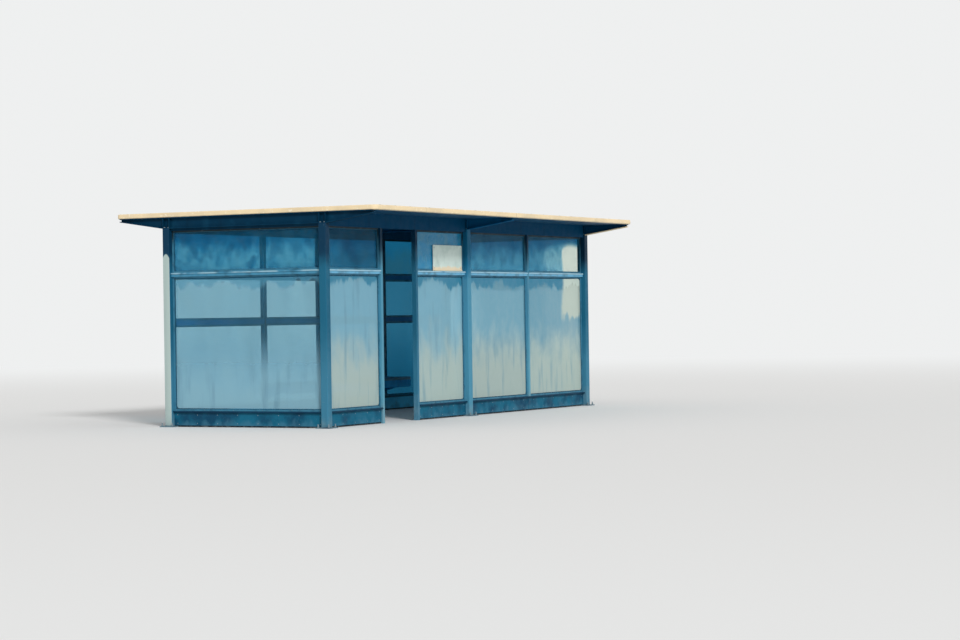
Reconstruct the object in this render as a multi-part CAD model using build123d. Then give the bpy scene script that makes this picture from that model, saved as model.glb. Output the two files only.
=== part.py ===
from build123d import *
import os

# A glazed waiting shelter for a small railway halt. Three steel frames, each two square posts
# and a tapered rafter, carry a thin flat roof that overhangs the front and the back.
# Glass walls in slim bars fill the bays, flush with the posts' inner faces. The front wall
# faces -Y and has an open doorway. Lengths are in millimetres. +X runs along the front and
# +Z is up. The origin is on the ground under the middle of the roof.

# Driving dimensions: the walls
wall_length = 7200.0
wall_depth = 2400.0
plinth_top = 200.0
front_bar_level = 1900.0
back_bar_level = 1300.0
head_rail_height = 30.0

# Driving dimensions: the roof
front_overhang = 720.0
back_overhang = 720.0
roof_thickness = 52.0
roof_panel_count = 6
roof_panel_joint = 4.0
roof_corner_radius = 80.0
roof_edge_sheet = 4.0
roof_edge_lip = 60.0
roof_edge_bend = 14.0
roof_edge_gap = 12.0
roof_rib_count = 3
roof_rib_base = 60.0
roof_rib_crown = 24.0
roof_rib_height = 12.0
roof_rib_end_gap = 25.0

# Driving dimensions: the frames
post_size = 100.0
post_sheet = 5.0
post_corner = 10.0
post_height = 2480.0
post_cap = 10.0
base_plate_size = 200.0
base_plate_thickness = 12.0
anchor_spacing = 150.0
anchor_hole = 18.0
rafter_depth = 144.0
rafter_width = 90.0
rafter_flange = 10.0
rafter_web = 8.0
rafter_tip_depth = 45.0
stiffener_thickness = 8.0
beam_depth = 80.0
beam_sheet = 5.0

# Driving dimensions: the bars between the panes
bar_depth = 60.0
front_bar_height = 50.0
back_bar_height = 60.0
bar_nose = 12.0
bar_nose_lip = 8.0
bar_nose_fall = 8.0
upright_sheet = 4.0
mullion_width = 45.0
back_left_mullion_offset = 1450.0
back_right_mullion_offset = 1650.0
jamb_width = 50.0
door_width = 830.0

# Driving dimensions: the plinth panels under the glass
plinth_gap = 20.0
plinth_thickness = 40.0
plinth_sill = 18.0

# Driving dimensions: the glazing
pane_frame_width = 20.0
pane_frame_depth = 34.0
glass_thickness = 10.0
glass_grip = 10.0
glass_edge_gap = 2.0
glass_face_gap = 0.3

# Driving dimensions: the bench
bench_seat_top = 480.0
bench_depth = 400.0
bench_slat_count = 3
bench_slat_thickness = 40.0
bench_slat_gap = 12.0
bench_slat_edge = 6.0
bench_apron_height = 100.0
bench_apron_thickness = 30.0
bench_rail_height = 60.0
bench_rail_depth = 40.0
bench_bracket_thickness = 10.0
bench_bracket_root = 150.0
bench_bracket_tip = 60.0

# Driving dimensions: the plate on the front glass
notice_width = 770.0
notice_height = 340.0
notice_thickness = 6.0
notice_corner = 12.0
notice_offset = 50.0

# Places that follow from the sizes
left_x = -wall_length / 2
right_x = wall_length / 2
roof_depth = wall_depth + front_overhang + back_overhang
front_y = -roof_depth / 2 + front_overhang
back_y = front_y + wall_depth
inner_left_x = left_x + post_size
inner_right_x = right_x - post_size
inner_front_y = front_y + post_size
inner_back_y = back_y - post_size
glass_head = post_height - head_rail_height
roof_underside = post_height + rafter_depth
roof_top = roof_underside + roof_thickness
left_bay_centre = (inner_left_x - post_size / 2) / 2
right_bay_centre = (inner_right_x + post_size / 2) / 2
back_left_mullion_x = -back_left_mullion_offset
back_right_mullion_x = back_right_mullion_offset
door_left_x = left_bay_centre - door_width / 2
door_right_x = left_bay_centre + door_width / 2

os.makedirs("parts", exist_ok=True)


def write(name, solids):
    """Write one sub-part, made of one or more solids, as a STEP file."""
    export_step(Compound(children=list(solids)), f"parts/{name}.step")


def block(x_span, y_span, z_span):
    """A plain block between two X, two Y and two Z values."""
    size = [high - low for low, high in (x_span, y_span, z_span)]
    centre = [(low + high) / 2 for low, high in (x_span, y_span, z_span)]
    return Pos(*centre) * Box(*size)


def tube(x_span, y_span, z_span, sheet, axis):
    """A rectangular tube with walls of the given sheet, open at both ends along one axis."""
    spans = [x_span, y_span, z_span]
    bore = [span if way == axis else (span[0] + sheet, span[1] - sheet)
            for way, span in enumerate(spans)]
    return block(*spans) - block(*bore)


def side_face(points):
    """A closed outline in the YZ plane, from (y, z) points."""
    return make_face(Plane.YZ * Polyline(*points, close=True))


# Each wall's pieces are made as on a wall along X, with the posts' outer faces at y = 0 and
# the room at +y, and are then turned to their own wall
def to_front(piece):
    return Pos(0, front_y, 0) * piece


def to_back(piece):
    return Pos(0, back_y, 0) * Rot(0, 0, 180) * piece


def to_left_end(piece):
    return Pos(left_x, 0, 0) * Rot(0, 0, -90) * piece


def to_right_end(piece):
    return Pos(right_x, 0, 0) * Rot(0, 0, 90) * piece


def turned(span):
    """A span along a wall, as it runs on a wall that faces the other way."""
    return (-span[1], -span[0])


# The posts: square tubes closed by a cap, on drilled base plates
post_places = {"front_left": (left_x + post_size / 2, front_y + post_size / 2),
               "front_middle": (0.0, front_y + post_size / 2),
               "front_right": (right_x - post_size / 2, front_y + post_size / 2),
               "back_left": (left_x + post_size / 2, back_y - post_size / 2),
               "back_middle": (0.0, back_y - post_size / 2),
               "back_right": (right_x - post_size / 2, back_y - post_size / 2)}


def post():
    outside = RectangleRounded(post_size, post_size, post_corner)
    bore = Rectangle(post_size - 2 * post_sheet, post_size - 2 * post_sheet)
    shaft = extrude(outside - bore, post_height - post_cap - base_plate_thickness)
    cap = Pos(0, 0, post_height - post_cap) * extrude(outside, post_cap)
    return Pos(0, 0, base_plate_thickness) * shaft + cap


def base_plate():
    holes = GridLocations(anchor_spacing, anchor_spacing, 2, 2) * Circle(anchor_hole / 2)
    return extrude(Rectangle(base_plate_size, base_plate_size) - holes, base_plate_thickness)


for place_name, place in post_places.items():
    write(f"post_{place_name}", [Pos(*place, 0) * post()])
write("base_plates", [Pos(*place, 0) * base_plate() for place in post_places.values()])


# The rafters: built-up I beams, level over the room and tapered to thin tips at both eaves
def rafter(x, top_z):
    front_tip = -roof_depth / 2 + roof_edge_lip
    back_tip = roof_depth / 2 - roof_edge_lip
    tip_z = roof_underside - rafter_tip_depth
    outline = [(front_tip, top_z), (front_tip, tip_z), (front_y, post_height),
               (back_y, post_height), (back_tip, tip_z), (back_tip, top_z)]
    body = extrude(side_face(outline), rafter_width / 2, both=True)
    front_slope = (tip_z - post_height) / (front_y - front_tip)
    back_slope = (tip_z - post_height) / (back_tip - back_y)
    web_top = top_z - rafter_flange
    web_low = post_height + rafter_flange
    window = [(front_tip, web_top), (front_tip, web_low + front_slope * (front_y - front_tip)),
              (front_y, web_low), (back_y, web_low),
              (back_tip, web_low + back_slope * (back_tip - back_y)), (back_tip, web_top)]
    side_cut = extrude(side_face(window), (rafter_width - rafter_web) / 2)
    beam = body - Pos(rafter_web / 2, 0, 0) * side_cut - Pos(-rafter_width / 2, 0, 0) * side_cut
    for low_y in (front_y, inner_front_y - stiffener_thickness,
                  inner_back_y, back_y - stiffener_thickness):
        beam += block((-rafter_width / 2, rafter_width / 2),
                      (low_y, low_y + stiffener_thickness), (web_low, web_top))
    return Pos(x, 0, 0) * beam


# The middle rafter carries the panels, and the outer two carry the lips of the roof's edges
edge_seat = roof_underside - roof_edge_sheet
write("rafter_left", [rafter(left_x + post_size / 2, edge_seat)])
write("rafter_middle", [rafter(0.0, roof_underside)])
write("rafter_right", [rafter(right_x - post_size / 2, edge_seat)])

# Clear widths between posts and other uprights: along X on the long walls, along Y on the ends
front_left_spans = [(inner_left_x, door_left_x - jamb_width)]
front_right_spans = [(door_right_x + jamb_width, -post_size / 2),
                     (post_size / 2, right_bay_centre - mullion_width / 2),
                     (right_bay_centre + mullion_width / 2, inner_right_x)]
back_spans = [(inner_left_x, back_left_mullion_x - mullion_width / 2),
              (back_left_mullion_x + mullion_width / 2, -post_size / 2),
              (post_size / 2, back_right_mullion_x - mullion_width / 2),
              (back_right_mullion_x + mullion_width / 2, inner_right_x)]
end_span = (inner_front_y, inner_back_y)
bay_spans = [(inner_left_x, -post_size / 2), (post_size / 2, inner_right_x)]


# The long beams over the front and back glass, and the thin rails over the end glass
def beam(span):
    return tube(span, (post_size - beam_depth, post_size), (glass_head, roof_underside),
                beam_sheet, 0)


def head_rail(span):
    return block(span, (post_size - bar_depth, post_size), (glass_head, post_height))


write("front_beams", [to_front(beam(span)) for span in bay_spans])
write("back_beams", [to_back(beam(turned(span))) for span in bay_spans])
write("left_end_head_rail", [to_left_end(head_rail(turned(end_span)))])
write("right_end_head_rail", [to_right_end(head_rail(end_span))])


# The uprights: two door jambs, one front mullion and two back mullions
def upright(centre_x, width, low_z):
    return tube((centre_x - width / 2, centre_x + width / 2), (post_size - bar_depth, post_size),
                (low_z, glass_head), upright_sheet, 2)


ground_z = 0.0
write("door_jamb_left",
      [to_front(upright(door_left_x - jamb_width / 2, jamb_width, ground_z))])
write("door_jamb_right",
      [to_front(upright(door_right_x + jamb_width / 2, jamb_width, ground_z))])
write("front_mullion", [to_front(upright(right_bay_centre, mullion_width, plinth_top))])
write("back_mullions", [to_back(upright(-back_left_mullion_x, mullion_width, plinth_top)),
                        to_back(upright(-back_right_mullion_x, mullion_width, plinth_top))])


# The level bars and the plinth panels, whose sloped noses shed the rain
def nose(top_z):
    """The outer edge of a bar or a sill, from its top to its underside."""
    outer = post_size - bar_depth
    low_z = top_z - bar_nose_fall - bar_nose_lip
    return [(outer, top_z), (outer - bar_nose, top_z - bar_nose_fall),
            (outer - bar_nose, low_z), (outer, low_z)]


def bar_section(low_z, height):
    return [(post_size, low_z), (post_size, low_z + height), *nose(low_z + height),
            (post_size - bar_depth, low_z)]


def plinth_section():
    panel_outer = post_size - plinth_thickness
    sill_low = plinth_top - plinth_sill
    return [(post_size, plinth_gap), (post_size, plinth_top), *nose(plinth_top),
            (post_size - bar_depth, sill_low), (panel_outer, sill_low), (panel_outer, plinth_gap)]


def run(section, span):
    """A section carried along X over the span."""
    return Pos(span[0], 0, 0) * extrude(side_face(section), span[1] - span[0])


front_bar_z = front_bar_level - front_bar_height / 2
back_upper_z = front_bar_level - back_bar_height / 2
back_middle_z = back_bar_level - back_bar_height / 2
front_bar = bar_section(front_bar_z, front_bar_height)
back_bars = [bar_section(back_upper_z, back_bar_height),
             bar_section(back_middle_z, back_bar_height)]
write("front_transom_left", [to_front(run(front_bar, span)) for span in front_left_spans])
write("front_transoms_right", [to_front(run(front_bar, span)) for span in front_right_spans])
write("back_transoms", [to_back(run(section, turned(span)))
                        for span in back_spans for section in back_bars])
write("left_end_transom", [to_left_end(run(front_bar, turned(end_span)))])
write("right_end_transom", [to_right_end(run(front_bar, end_span))])

plinth = plinth_section()
write("front_plinth_left", [to_front(run(plinth, span)) for span in front_left_spans])
write("front_plinth_right", [to_front(run(plinth, front_right_spans[0])),
                             to_front(run(plinth, bay_spans[1]))])
write("back_plinth", [to_back(run(plinth, turned(span))) for span in bay_spans])
write("left_end_plinth", [to_left_end(run(plinth, turned(end_span)))])
write("right_end_plinth", [to_right_end(run(plinth, end_span))])


# The glazing: each pane stands in the groove of its own thin frame
def pane_frame(width, height):
    outside = Plane.XZ * Rectangle(width, height)
    sight = Plane.XZ * Rectangle(width - 2 * pane_frame_width, height - 2 * pane_frame_width)
    groove_inset = pane_frame_width - glass_grip - glass_edge_gap
    groove = Plane.XZ * Rectangle(width - 2 * groove_inset, height - 2 * groove_inset)
    groove_width = glass_thickness + 2 * glass_face_gap
    return (extrude(outside, pane_frame_depth / 2, both=True)
            - extrude(sight, pane_frame_depth, both=True)
            - extrude(groove, groove_width / 2, both=True))


def pane(width, height):
    inset = pane_frame_width - glass_grip
    sheet = Plane.XZ * Rectangle(width - 2 * inset, height - 2 * inset)
    return extrude(sheet, glass_thickness / 2, both=True)


def glaze(name, spans, rows, to_wall):
    """Fill each clear width and each row of a wall with a pane in its frame."""
    frames, sheets = [], []
    for x_low, x_high in spans:
        for z_low, z_high in rows:
            width, height = x_high - x_low, z_high - z_low
            place = Pos((x_low + x_high) / 2, post_size - pane_frame_depth / 2,
                        (z_low + z_high) / 2)
            frames.append(to_wall(place * pane_frame(width, height)))
            sheets.append(to_wall(place * pane(width, height)))
    write(f"{name}_pane_frames", frames)
    write(f"{name}_glass", sheets)


front_rows = [(plinth_top, front_bar_z), (front_bar_z + front_bar_height, glass_head)]
back_rows = [(plinth_top, back_middle_z), (back_middle_z + back_bar_height, back_upper_z),
             (back_upper_z + back_bar_height, glass_head)]
glaze("front_left", front_left_spans, front_rows, to_front)
glaze("front_right", front_right_spans, front_rows, to_front)
glaze("back", [turned(span) for span in back_spans], back_rows, to_back)
glaze("left_end", [turned(end_span)], front_rows, to_left_end)
glaze("right_end", [end_span], front_rows, to_right_end)


# The roof: ribbed panels side by side, held at their edges in a folded cap profile
pocket_length = wall_length - 2 * roof_edge_sheet
pocket_depth = roof_depth - 2 * roof_edge_sheet


def roof_rib():
    outline = Plane.XZ * Polyline(
        (-roof_rib_base / 2, 0), (-roof_rib_crown / 2, roof_rib_height),
        (roof_rib_crown / 2, roof_rib_height), (roof_rib_base / 2, 0), close=True)
    half_run = roof_depth / 2 - roof_edge_lip - roof_rib_end_gap
    return extrude(make_face(outline), half_run, both=True)


def roof_panels():
    corner = roof_corner_radius - roof_edge_sheet - roof_edge_gap
    plan = RectangleRounded(pocket_length - 2 * roof_edge_gap, pocket_depth - 2 * roof_edge_gap,
                            corner)
    sheet = Pos(0, 0, roof_underside) * extrude(plan, roof_thickness)
    pitch = wall_length / roof_panel_count
    rib_pitch = (pitch - 2 * roof_edge_lip) / roof_rib_count
    panels = []
    for index in range(roof_panel_count):
        centre_x = left_x + (index + 0.5) * pitch
        half = (pitch - roof_panel_joint) / 2
        panel = sheet & block((centre_x - half, centre_x + half), (-roof_depth, roof_depth),
                              (roof_underside, roof_top))
        for rib_index in range(roof_rib_count):
            rib_x = centre_x + (rib_index - (roof_rib_count - 1) / 2) * rib_pitch
            panel += Pos(rib_x, 0, roof_top) * roof_rib()
        panels.append(panel)
    return panels


def roof_edge_ring():
    height = roof_thickness + 2 * roof_edge_sheet
    outside = extrude(RectangleRounded(wall_length, roof_depth, roof_corner_radius), height)
    outside = fillet(outside.faces().filter_by(Axis.Z).edges(), roof_edge_bend)
    pocket_corner = roof_corner_radius - roof_edge_sheet
    pocket = extrude(RectangleRounded(pocket_length, pocket_depth, pocket_corner),
                     roof_thickness)
    pocket = fillet(pocket.faces().filter_by(Axis.Z).edges(), roof_edge_bend - roof_edge_sheet)
    middle = extrude(Rectangle(wall_length - 2 * roof_edge_lip, roof_depth - 2 * roof_edge_lip),
                     height)
    ring = outside - Pos(0, 0, roof_edge_sheet) * pocket - middle
    return Pos(0, 0, edge_seat) * ring


# The long edges take the rounded corners with them, and the end edges fit in between
write("roof_panels", roof_panels())
edge_ring = roof_edge_ring()
eave_y = roof_depth / 2
corner_y = eave_y - roof_corner_radius
edge_z = (edge_seat, roof_top + roof_edge_sheet)
write("roof_edge_front", [edge_ring & block((left_x, right_x), (-eave_y, -corner_y), edge_z)])
write("roof_edge_back", [edge_ring & block((left_x, right_x), (corner_y, eave_y), edge_z)])
write("roof_edge_left", [edge_ring & block((left_x, 0), (-corner_y, corner_y), edge_z)])
write("roof_edge_right", [edge_ring & block((0, right_x), (-corner_y, corner_y), edge_z)])

# The bench: timber slats on a steel frame that hangs on the back wall's uprights
bench_left_x = back_left_mullion_x - mullion_width / 2
bench_right_x = back_right_mullion_x + mullion_width / 2
bench_front_y = inner_back_y - bench_depth
rail_front_y = inner_back_y - bench_rail_depth
apron_back_y = bench_front_y + bench_apron_thickness
slat_low = bench_seat_top - bench_slat_thickness


def bench_slats():
    free_depth = bench_depth - (bench_slat_count - 1) * bench_slat_gap
    slat_depth = free_depth / bench_slat_count
    slats = []
    for index in range(bench_slat_count):
        slat_y = bench_front_y + index * (slat_depth + bench_slat_gap)
        slat = block((bench_left_x, bench_right_x), (slat_y, slat_y + slat_depth),
                     (slat_low, bench_seat_top))
        slats.append(fillet(slat.faces().sort_by(Axis.Z)[-1].edges(), bench_slat_edge))
    return slats


def bench_frame():
    frame = block((bench_left_x, bench_right_x), (rail_front_y, inner_back_y),
                  (slat_low - bench_rail_height, slat_low))
    frame += block((bench_left_x, bench_right_x), (bench_front_y, apron_back_y),
                   (slat_low - bench_apron_height, slat_low))
    outline = [(rail_front_y, slat_low), (rail_front_y, slat_low - bench_bracket_root),
               (apron_back_y, slat_low - bench_bracket_tip), (apron_back_y, slat_low)]
    arm = extrude(side_face(outline), bench_bracket_thickness / 2, both=True)
    foot = block((-mullion_width / 2, mullion_width / 2), (rail_front_y, inner_back_y),
                 (slat_low - bench_bracket_root, slat_low))
    for bracket_x in (back_left_mullion_x, 0.0, back_right_mullion_x):
        frame += Pos(bracket_x, 0, 0) * (arm + foot)
    return frame


write("bench_slats", bench_slats())
write("bench_frame", [bench_frame()])

# The bare plate on the front glass, standing on the bar beside the middle post
notice_x = -post_size / 2 - notice_offset - notice_width / 2
notice_y = front_y + post_size - pane_frame_depth - notice_thickness / 2
notice_z = front_bar_z + front_bar_height + notice_height / 2
notice_sheet = Plane.XZ * RectangleRounded(notice_width, notice_height, notice_corner)
write("notice_plate", [Pos(notice_x, notice_y, notice_z)
                       * extrude(notice_sheet, notice_thickness / 2, both=True)])
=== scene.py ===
# The looks of a glazed waiting shelter for a small railway halt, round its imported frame.
# Everything is in metres. +X runs along the front, the front faces -Y and +Z is up.
import math

import bmesh
import bpy
from mathutils import Matrix, Vector


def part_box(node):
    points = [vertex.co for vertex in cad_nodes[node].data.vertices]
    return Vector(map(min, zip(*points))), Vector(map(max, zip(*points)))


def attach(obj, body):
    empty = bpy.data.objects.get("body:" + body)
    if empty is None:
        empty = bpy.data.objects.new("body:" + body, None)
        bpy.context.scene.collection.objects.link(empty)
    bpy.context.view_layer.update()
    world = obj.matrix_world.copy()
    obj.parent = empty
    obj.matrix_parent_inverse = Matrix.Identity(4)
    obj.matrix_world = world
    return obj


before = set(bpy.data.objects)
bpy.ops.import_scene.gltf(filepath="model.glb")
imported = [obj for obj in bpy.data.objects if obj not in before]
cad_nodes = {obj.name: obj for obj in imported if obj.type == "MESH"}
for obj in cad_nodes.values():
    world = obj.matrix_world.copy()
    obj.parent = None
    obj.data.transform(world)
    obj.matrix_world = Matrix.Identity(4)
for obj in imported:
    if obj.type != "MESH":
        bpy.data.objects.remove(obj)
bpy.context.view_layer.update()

# Base plates and anchors: six drilled steel plates, 12 mm thick and painted navy, lie under the
# posts. Four M16 anchors of dull zinc-plated steel hold each plate, with washers and nuts.
PLATE_NAVY, PLATE_STREAK = (24, 64, 88), (80, 92, 92)
FOOT_DUST = (128, 152, 158)
ZINC, DARK_ZINC = (142, 160, 168), (98, 118, 130)
ANCHOR_OFFSET = 0.075
WASHER_RADIUS, WASHER_THICK = 0.015, 0.003
NUT_RADIUS, NUT_TOP_RADIUS, NUT_TALL = 0.0139, 0.013483, 0.013
STUD_RADIUS, STUD_TALL, STUD_CHAMFER = 0.008, 0.04, 0.0018


def tone(colour):
    """A colour as it shows on a screen, 0 to 255, in the shader's own units."""
    shares = [value / 255 for value in colour]
    return [s / 12.92 if s <= 0.04045 else ((s + 0.055) / 1.055) ** 2.4 for s in shares] + [1]


def add(tree, kind, inputs, **settings):
    """One shader node, with its settings and the values or links of its inputs."""
    made = tree.nodes.new("ShaderNode" + kind)
    for key, value in settings.items():
        setattr(made, key, value)
    for key, value in inputs.items():
        if isinstance(value, bpy.types.NodeSocket):
            tree.links.new(value, made.inputs[key])
        else:
            made.inputs[key].default_value = value
    return made


def calc(tree, operation, *values):
    return add(tree, "Math", dict(enumerate(values)), operation=operation).outputs[0]


def along_axes(tree):
    """The place on the piece, in metres, as X, Y and Z."""
    return add(tree, "SeparateXYZ", {0: add(tree, "TexCoord", {}).outputs["Object"]}).outputs


def noise(tree, scale, detail=3.0, stretch=(1, 1, 1)):
    """A cloudy pattern from 0 to 1, drawn out along an axis whose stretch is small."""
    place = add(tree, "TexCoord", {}).outputs["Object"]
    place = add(tree, "Mapping", {"Vector": place, "Scale": stretch}).outputs[0]
    return add(tree, "TexNoise", {"Vector": place, "Scale": scale, "Detail": detail}).outputs[0]


def ragged(tree, place, depth, scale, detail=3.0, stretch=(1, 1, 1)):
    """A place along an axis, made uneven by a cloudy pattern of a depth in metres."""
    return calc(tree, "MULTIPLY_ADD", noise(tree, scale, detail, stretch), depth, place)


def between(tree, value, start, end, first=0.0, last=1.0):
    """Goes smoothly from first to last as value goes from start to end."""
    return add(tree, "MapRange", {0: value, 1: start, 2: end, 3: first, 4: last},
               interpolation_type="SMOOTHSTEP").outputs[0]


def coat(tree, under, over, share):
    """The colour over laid on the colour under by share."""
    return add(tree, "Mix", {0: share, 6: under, 7: over}, data_type="RGBA").outputs[2]


def patches(tree, under, over, pattern, start, end, first=0.0, last=1.0):
    """A tone laid on the colour under, by first where the pattern is start and last at end."""
    return coat(tree, under, tone(over), between(tree, pattern, start, end, first, last))


def new_finish(name, shine):
    finish = bpy.data.materials.new(name)
    finish.use_nodes = True
    surface = finish.node_tree.nodes["Principled BSDF"]
    surface.inputs["Specular IOR Level"].default_value = shine
    return finish, finish.node_tree, surface


def paint_on(tree, surface, colour, dullest, brightest, grain_scale, grain_depth):
    """Gives the surface its colour, patches of dull and bright, and a fine grain."""
    tree.links.new(colour, surface.inputs["Base Color"])
    dull = between(tree, noise(tree, 11.0, 5.0), 0.32, 0.68, brightest, dullest)
    tree.links.new(dull, surface.inputs["Roughness"])
    grain = add(tree, "Bump", {"Height": noise(tree, grain_scale), "Distance": grain_depth,
                               "Strength": 0.6}).outputs[0]
    tree.links.new(grain, surface.inputs["Normal"])


def weathered(tree, colour, dust, dust_top, dust_share, streak, streak_share):
    """Rain streaks down a paint, and dust that thins out upwards from its foot."""
    streaks = noise(tree, 7.0, 5.0, (1, 1, 0.06))
    colour = patches(tree, colour, streak, streaks, 0.5, 0.78, 0, streak_share)
    height = ragged(tree, along_axes(tree)[2], 0.9, 4.0, 6.0)
    return patches(tree, colour, dust, height, 0.42, 0.45 + dust_top, dust_share, 0)


def dress(finish, *names):
    """Gives the frame's own nodes their finish."""
    for name in names:
        cad_nodes[name].data.materials.clear()
        cad_nodes[name].data.materials.append(finish)


def fit(name, shape, finish):
    """Makes a finished shape a piece of the shelter."""
    bmesh.ops.recalc_face_normals(shape, faces=shape.faces)
    mesh = bpy.data.meshes.new(name)
    shape.to_mesh(mesh)
    shape.free()
    mesh.materials.append(finish)
    mesh.shade_smooth()
    mesh.set_sharp_from_angle(angle=math.radians(32))
    piece = bpy.data.objects.new(name, mesh)
    bpy.context.scene.collection.objects.link(piece)
    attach(piece, "root")


def disc(shape, sides, low_radius, high_radius, base, tall):
    """A round or many-sided block that stands on base, added to the shape."""
    lift = Matrix.Translation((0, 0, base + tall / 2))
    return bmesh.ops.create_cone(shape, cap_ends=True, segments=sides, radius1=low_radius,
                                 radius2=high_radius, depth=tall, matrix=lift)["verts"]


def ease(shape, edges, offset, segments):
    """Chamfers or rounds edges of the shape."""
    bmesh.ops.bevel(shape, geom=edges, offset=offset, segments=segments, profile=0.5,
                    affect="EDGES", material=-1)


def put(shape, small, places):
    """Adds a copy of the small shape to the shape at each place, and frees the small shape."""
    pattern = bpy.data.meshes.new("pattern")
    small.to_mesh(pattern)
    small.free()
    for place in places:
        pattern.transform(place)
        shape.from_mesh(pattern)
        pattern.transform(place.inverted())
    bpy.data.meshes.remove(pattern)
    return shape


def copies(small, places):
    return put(bmesh.new(), small, places)


def standing(point, outward=(0, 0, 1)):
    """The place of a part at a point, with its own up turned outward."""
    turn = Vector(outward).to_track_quat("Z", "Y").to_matrix().to_4x4()
    return Matrix.Translation(point) @ turn


def four_round(centre, offset):
    """Upright places at the corners of a level square round its centre."""
    return [standing(centre + Vector((x, y, 0))) for x in (-offset, offset)
            for y in (-offset, offset)]


def middle(box):
    """The middle of a box, which is given by its lowest and highest corners."""
    return (box[0] + box[1]) / 2


plate_paint, tree, surface = new_finish("base_plate_paint", 0.2)
colour = weathered(tree, tone(PLATE_NAVY), FOOT_DUST, 0.25, 0.55, PLATE_STREAK, 0.4)
paint_on(tree, surface, colour, 0.75, 0.5, 220.0, 0.0006)
dress(plate_paint, "base_plates")

zinc, tree, surface = new_finish("dull_zinc", 0.4)
surface.inputs["Metallic"].default_value = 0.55
colour = patches(tree, tone(ZINC), DARK_ZINC, noise(tree, 240.0, 2.0), 0.35, 0.65)
paint_on(tree, surface, colour, 0.62, 0.42, 500.0, 0.0002)

anchor = bmesh.new()
disc(anchor, 20, WASHER_RADIUS, WASHER_RADIUS, 0, WASHER_THICK)
disc(anchor, 6, NUT_RADIUS, NUT_TOP_RADIUS, WASHER_THICK, NUT_TALL)
stud = disc(anchor, 12, STUD_RADIUS, STUD_RADIUS, NUT_TALL, STUD_TALL - NUT_TALL)
stud_middle = (NUT_TALL + STUD_TALL) / 2
ease(anchor, [edge for edge in anchor.edges if set(edge.verts) <= set(stud)
              and min(v.co.z for v in edge.verts) > stud_middle], STUD_CHAMFER, 1)
POST_NODES = [f"post_{side}_{place}" for side in ("front", "back")
              for place in ("left", "middle", "right")]
post_feet = []
for name in POST_NODES:
    foot = middle(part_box(name))
    foot.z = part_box(name)[0].z
    post_feet.append(foot)
anchor_places = [place for foot in post_feet for place in four_round(foot, ANCHOR_OFFSET)]
fit("anchor_bolts", copies(anchor, anchor_places), zinc)

# Posts: six square steel tubes, 100 mm wide, welded to their plates and painted a satin blue.
# Under the eaves the paint is clean and darkened as painted shade, and lower down it is chalky
# and dusty. The end faces of the two back posts are painted pale grey below a rounded line, as
# painted sunlight under the roof's shadow.
POST_HALF = 0.05
POST_BLUE = (28, 96, 124)
POST_SHADED = (4, 50, 76)
POST_CHALKY = (60, 123, 150)
POST_CHIPS = (150, 172, 176)
POST_STREAK = (24, 66, 90)
MIDDLE_BLUE, MIDDLE_SHADED = (72, 138, 165), (20, 104, 140)
# Painted sunlight on the back posts' end faces: its colour, its top and how sharply it rounds down
SUNLIT_FACE = (172, 190, 186)
SUNLIT_FACE_TOP, SUNLIT_FACE_CROWN = 2.15, 22.0
PAINT_FACE = 0.003
WELD_RISE, WELD_IN, WELD_CORNER = 0.009, 0.002, 0.008


def post_blue(name, mid, low_colour, shade_start, shade_end, shaded=POST_SHADED):
    finish, tree, surface = new_finish(name, 0.12)
    x, y, z = along_axes(tree)
    height = ragged(tree, z, 0.35, 5.0, 5.0)
    # Painted shade under the eaves, from shade_start up to shade_end
    colour = patches(tree, tone(mid), shaded, height, shade_start, shade_end)
    colour = patches(tree, colour, low_colour, height, 0.7, 1.5, 0.9, 0)
    colour = patches(tree, colour, POST_CHIPS, noise(tree, 58.0, 2.0), 0.72, 0.76, 0, 0.4)
    # Painted sunlight on the back posts' end faces, below a line that rounds up towards their
    # middle
    end_face = calc(tree, "GREATER_THAN", calc(tree, "ABSOLUTE", x),
                    post_feet[-1].x + POST_HALF - PAINT_FACE)
    back = calc(tree, "GREATER_THAN", y, 0.0)
    across = calc(tree, "SUBTRACT", y, post_feet[-1].y)
    crown = calc(tree, "MULTIPLY_ADD", calc(tree, "MULTIPLY", across, across), SUNLIT_FACE_CROWN, z)
    below = between(tree, crown, SUNLIT_FACE_TOP, SUNLIT_FACE_TOP + 0.02, 1, 0)
    sunlit_end = calc(tree, "MULTIPLY", calc(tree, "MULTIPLY", end_face, back), below)
    colour = coat(tree, colour, tone(SUNLIT_FACE), sunlit_end)
    colour = weathered(tree, colour, FOOT_DUST, 0.3, 0.35, POST_STREAK, 0.3)
    paint_on(tree, surface, colour, 0.62, 0.4, 180.0, 0.0005)
    return finish


dress(post_blue("post_paint", POST_BLUE, POST_CHALKY, 2.05, 2.4), *POST_NODES)
dress(post_blue("middle_post_paint", MIDDLE_BLUE, MIDDLE_BLUE, 1.95, 2.25, MIDDLE_SHADED),
      "post_front_middle")

weld = bmesh.new()
disc(weld, 4, (POST_HALF + WELD_RISE) * math.sqrt(2), (POST_HALF - WELD_IN) * math.sqrt(2), 0,
     WELD_RISE)
bmesh.ops.rotate(weld, verts=weld.verts, matrix=Matrix.Rotation(math.radians(45), 3, "Z"))
ease(weld, [edge for edge in weld.edges
            if len({round(v.co.z, 4) for v in edge.verts}) == 2], WELD_CORNER, 3)
fit("foot_welds", copies(weld, [standing(foot) for foot in post_feet]), plate_paint)

# Rafters: three built-up I beams in dark navy paint, level over the room and thin at the tips.
# Each stands on its posts' caps with four bolts a post, and its web is welded to the flanges.
# The two lighter navies are copies of the navy, painted light that lifts parts in deep shade, and
# the cream is a painted highlight on the right rafter's lower flange
NAVY, DEEP_SHADE_LIFTED_NAVY, SHADE_LIFTED_NAVY = (2, 47, 72), (0, 84, 128), (0, 68, 104)
NAVY_WORN, NAVY_STREAK = (18, 72, 98), (8, 34, 52)
FLANGE_HIGHLIGHT = (232, 213, 178)
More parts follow.
